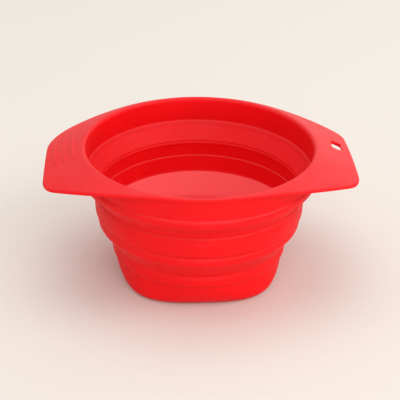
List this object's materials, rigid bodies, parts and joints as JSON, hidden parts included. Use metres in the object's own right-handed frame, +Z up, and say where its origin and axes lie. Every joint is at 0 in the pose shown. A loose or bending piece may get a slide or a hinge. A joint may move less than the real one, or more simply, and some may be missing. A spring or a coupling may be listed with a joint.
{
  "type": "collapsible travel cup",
  "caption": "Soft round travel cup with stiff tiers joined by folding webs and a drooping rim flange that forms handles, with a hang slot and grip ribs; it pushes down to pack.",
  "frame": {"origin": "centre of the flat underside of the base, on the cup's axis", "axes": "+Z up along the cup's axis out of the mouth, +X along the handles towards the one with the hang slot"},
  "size_m": [0.1602, 0.1232, 0.0735],
  "materials": {
    "silicone_base": "matte moulded silicone",
    "silicone_middle": "matte moulded silicone",
    "silicone_rim": "matte moulded silicone",
    "silicone_fold": "thin soft silicone web"
  },
  "bodies": {
    "base": {"base_floor": "silicone_base", "base_wall": "silicone_base", "lower_fold": "silicone_fold"},
    "middle": {"lower_bead": "silicone_middle", "middle_band": "silicone_middle", "upper_fold": "silicone_fold"},
    "rim": {"upper_bead": "silicone_rim", "collar": "silicone_rim", "rim_flange": "silicone_rim", "grip_rib_1": "silicone_rim", "grip_rib_2": "silicone_rim", "grip_rib_3": "silicone_rim"}
  },
  "joints": [
    {"name": "lower_collapse", "type": "slide", "parent": "base", "child": "middle", "axis": [0, 0, 1], "range_m": [-0.018, 0], "deforming": ["lower_fold"]},
    {"name": "upper_collapse", "type": "slide", "parent": "middle", "child": "rim", "axis": [0, 0, 1], "range_m": [-0.017, 0], "deforming": ["upper_fold"]}
  ]
}
